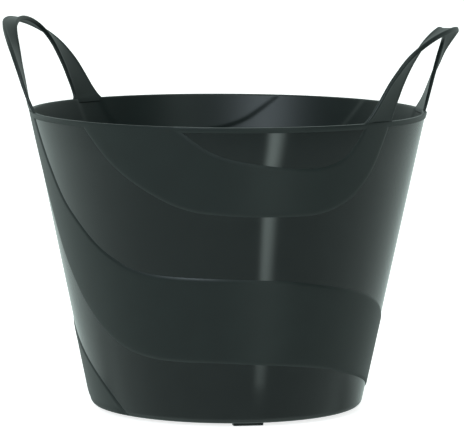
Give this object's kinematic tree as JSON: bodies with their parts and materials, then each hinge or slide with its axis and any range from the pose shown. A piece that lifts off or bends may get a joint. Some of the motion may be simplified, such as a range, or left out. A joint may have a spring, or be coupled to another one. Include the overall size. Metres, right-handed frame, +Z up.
{
  "type": "florist bucket",
  "caption": "Round flexible flower bucket with tapering wall, sweeping raised bands, rolled rim lip and upright strap handles that bend in and out.",
  "frame": {"origin": "on the floor, on the bucket's axis, level with the undersides of the feet", "axes": "+Z up along the bucket's axis; the two handles stand at +X and -X; +Y to the back"},
  "size_m": [0.3908, 0.33, 0.3241],
  "materials": {
    "gloss_plastic": "smooth moulded plastic, dark green-black, glossy",
    "satin_plastic": "finely grained satin plastic, dark green-black",
    "strap_plastic": "satin flexible plastic, dark green-black"
  },
  "bodies": {
    "tub": {"floor": "gloss_plastic", "wall": "gloss_plastic", "rim_lip": "satin_plastic", "foot_1": "satin_plastic", "foot_2": "satin_plastic", "foot_3": "satin_plastic", "right_falling_band": "satin_plastic", "left_falling_band": "satin_plastic", "right_returning_band": "satin_plastic", "left_returning_band": "satin_plastic", "right_front_root": "satin_plastic", "right_back_root": "satin_plastic", "left_front_root": "satin_plastic", "left_back_root": "satin_plastic"},
    "right_handle": {"right_handle": "strap_plastic"},
    "left_handle": {"left_handle": "strap_plastic"}
  },
  "joints": [
    {"name": "right_handle_bend", "type": "hinge", "parent": "tub", "child": "right_handle", "pos_m": [0.15021, 0, 0.2593], "axis": [0, 1, 0], "range_deg": [-60, 30], "stiffness_Nm_per_rad": 0.9},
    {"name": "left_handle_bend", "type": "hinge", "parent": "tub", "child": "left_handle", "pos_m": [-0.15021, 0, 0.2593], "axis": [0, -1, 0], "range_deg": [-60, 30], "stiffness_Nm_per_rad": 0.9}
  ]
}
